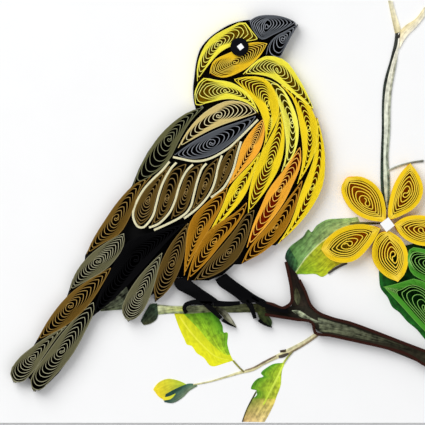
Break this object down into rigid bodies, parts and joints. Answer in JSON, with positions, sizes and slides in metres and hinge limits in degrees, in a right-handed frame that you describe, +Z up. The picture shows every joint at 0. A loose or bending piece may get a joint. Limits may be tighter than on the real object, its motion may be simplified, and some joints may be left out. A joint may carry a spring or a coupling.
{
  "type": "quilled paper picture",
  "caption": "Square card lying flat, with a songbird on a branch and a blossom built up from wound paper strips that stand on edge.",
  "frame": {"origin": "middle of the card's underside, on the surface it lies on", "axes": "+Z up out of the card towards the viewer, +Y to the top of the picture, +X to its right"},
  "size_m": [0.127, 0.127, 0.005],
  "materials": {
    "white_card": "matt white board",
    "black_paper": "matt black paper",
    "yellow_paper": "matt bright yellow quilling strip",
    "pale_yellow_paper": "matt pale yellow quilling strip",
    "golden_paper": "matt golden yellow quilling strip",
    "orange_paper": "matt orange quilling strip",
    "gold_brown_paper": "matt gold-brown quilling strip",
    "mustard_paper": "matt mustard brown quilling strip",
    "brown_paper": "matt brown quilling strip",
    "olive_grey_paper": "matt olive-grey quilling strip",
    "dark_olive_paper": "matt dark olive quilling strip",
    "tan_paper": "matt tan quilling strip",
    "slate_paper": "matt slate grey quilling strip",
    "cream_paper": "matt cream quilling strip",
    "bark_paper": "matt dark brown quilling strip",
    "petal_paper": "matt flower yellow quilling strip",
    "leaf_paper": "matt leaf green quilling strip"
  },
  "bodies": {
    "root": {"card": "white_card", "flower_centre": "white_card", "eye_glint": "white_card", "bird_backing": "black_paper", "rump_coil_black": "black_paper", "leg_left": "black_paper", "leg_right": "black_paper", "toes_left": "black_paper", "toes_right": "black_paper", "eye": "black_paper", "crown_coil": "yellow_paper", "nape_coil": "yellow_paper", "throat_coil": "yellow_paper", "breast_coil_1": "yellow_paper", "breast_coil_3": "yellow_paper", "breast_coil_5": "yellow_paper", "breast_coil_6": "yellow_paper", "breast_coil_7": "yellow_paper", "breast_coil_2": "pale_yellow_paper", "cheek_coil": "golden_paper", "breast_coil_4": "orange_paper", "belly_coil_1": "orange_paper", "belly_coil_2": "gold_brown_paper", "belly_coil_3": "gold_brown_paper", "belly_coil_4": "gold_brown_paper", "tail_coil_3": "mustard_paper", "back_coil_lower": "mustard_paper", "wing_coil_1": "brown_paper", "wing_coil_2": "brown_paper", "wing_coil_3": "brown_paper", "wing_coil_4": "brown_paper", "wing_coil_5": "brown_paper", "rump_coil_brown": "brown_paper", "belly_coil_5": "brown_paper", "tail_coil_1": "olive_grey_paper", "tail_coil_2": "olive_grey_paper", "tail_coil_4": "olive_grey_paper", "rump_coil_olive": "olive_grey_paper", "back_coil_upper": "dark_olive_paper", "shoulder_coil": "tan_paper", "covert_coil": "slate_paper", "beak_upper_coil": "slate_paper", "beak_lower_coil": "slate_paper", "covert_strip": "cream_paper", "wing_strip_1": "cream_paper", "wing_strip_2": "cream_paper", "wing_strip_3": "cream_paper", "wing_strip_4": "cream_paper", "wing_strip_5": "cream_paper", "branch_edge_upper": "bark_paper", "branch_edge_lower": "bark_paper", "branch_shoot_edge": "bark_paper", "petal_1": "petal_paper", "petal_2": "petal_paper", "petal_3": "petal_paper", "petal_4": "petal_paper", "petal_5": "petal_paper", "leaf_coil_lower": "leaf_paper", "leaf_coil_upper": "leaf_paper"}
  },
  "joints": []
}
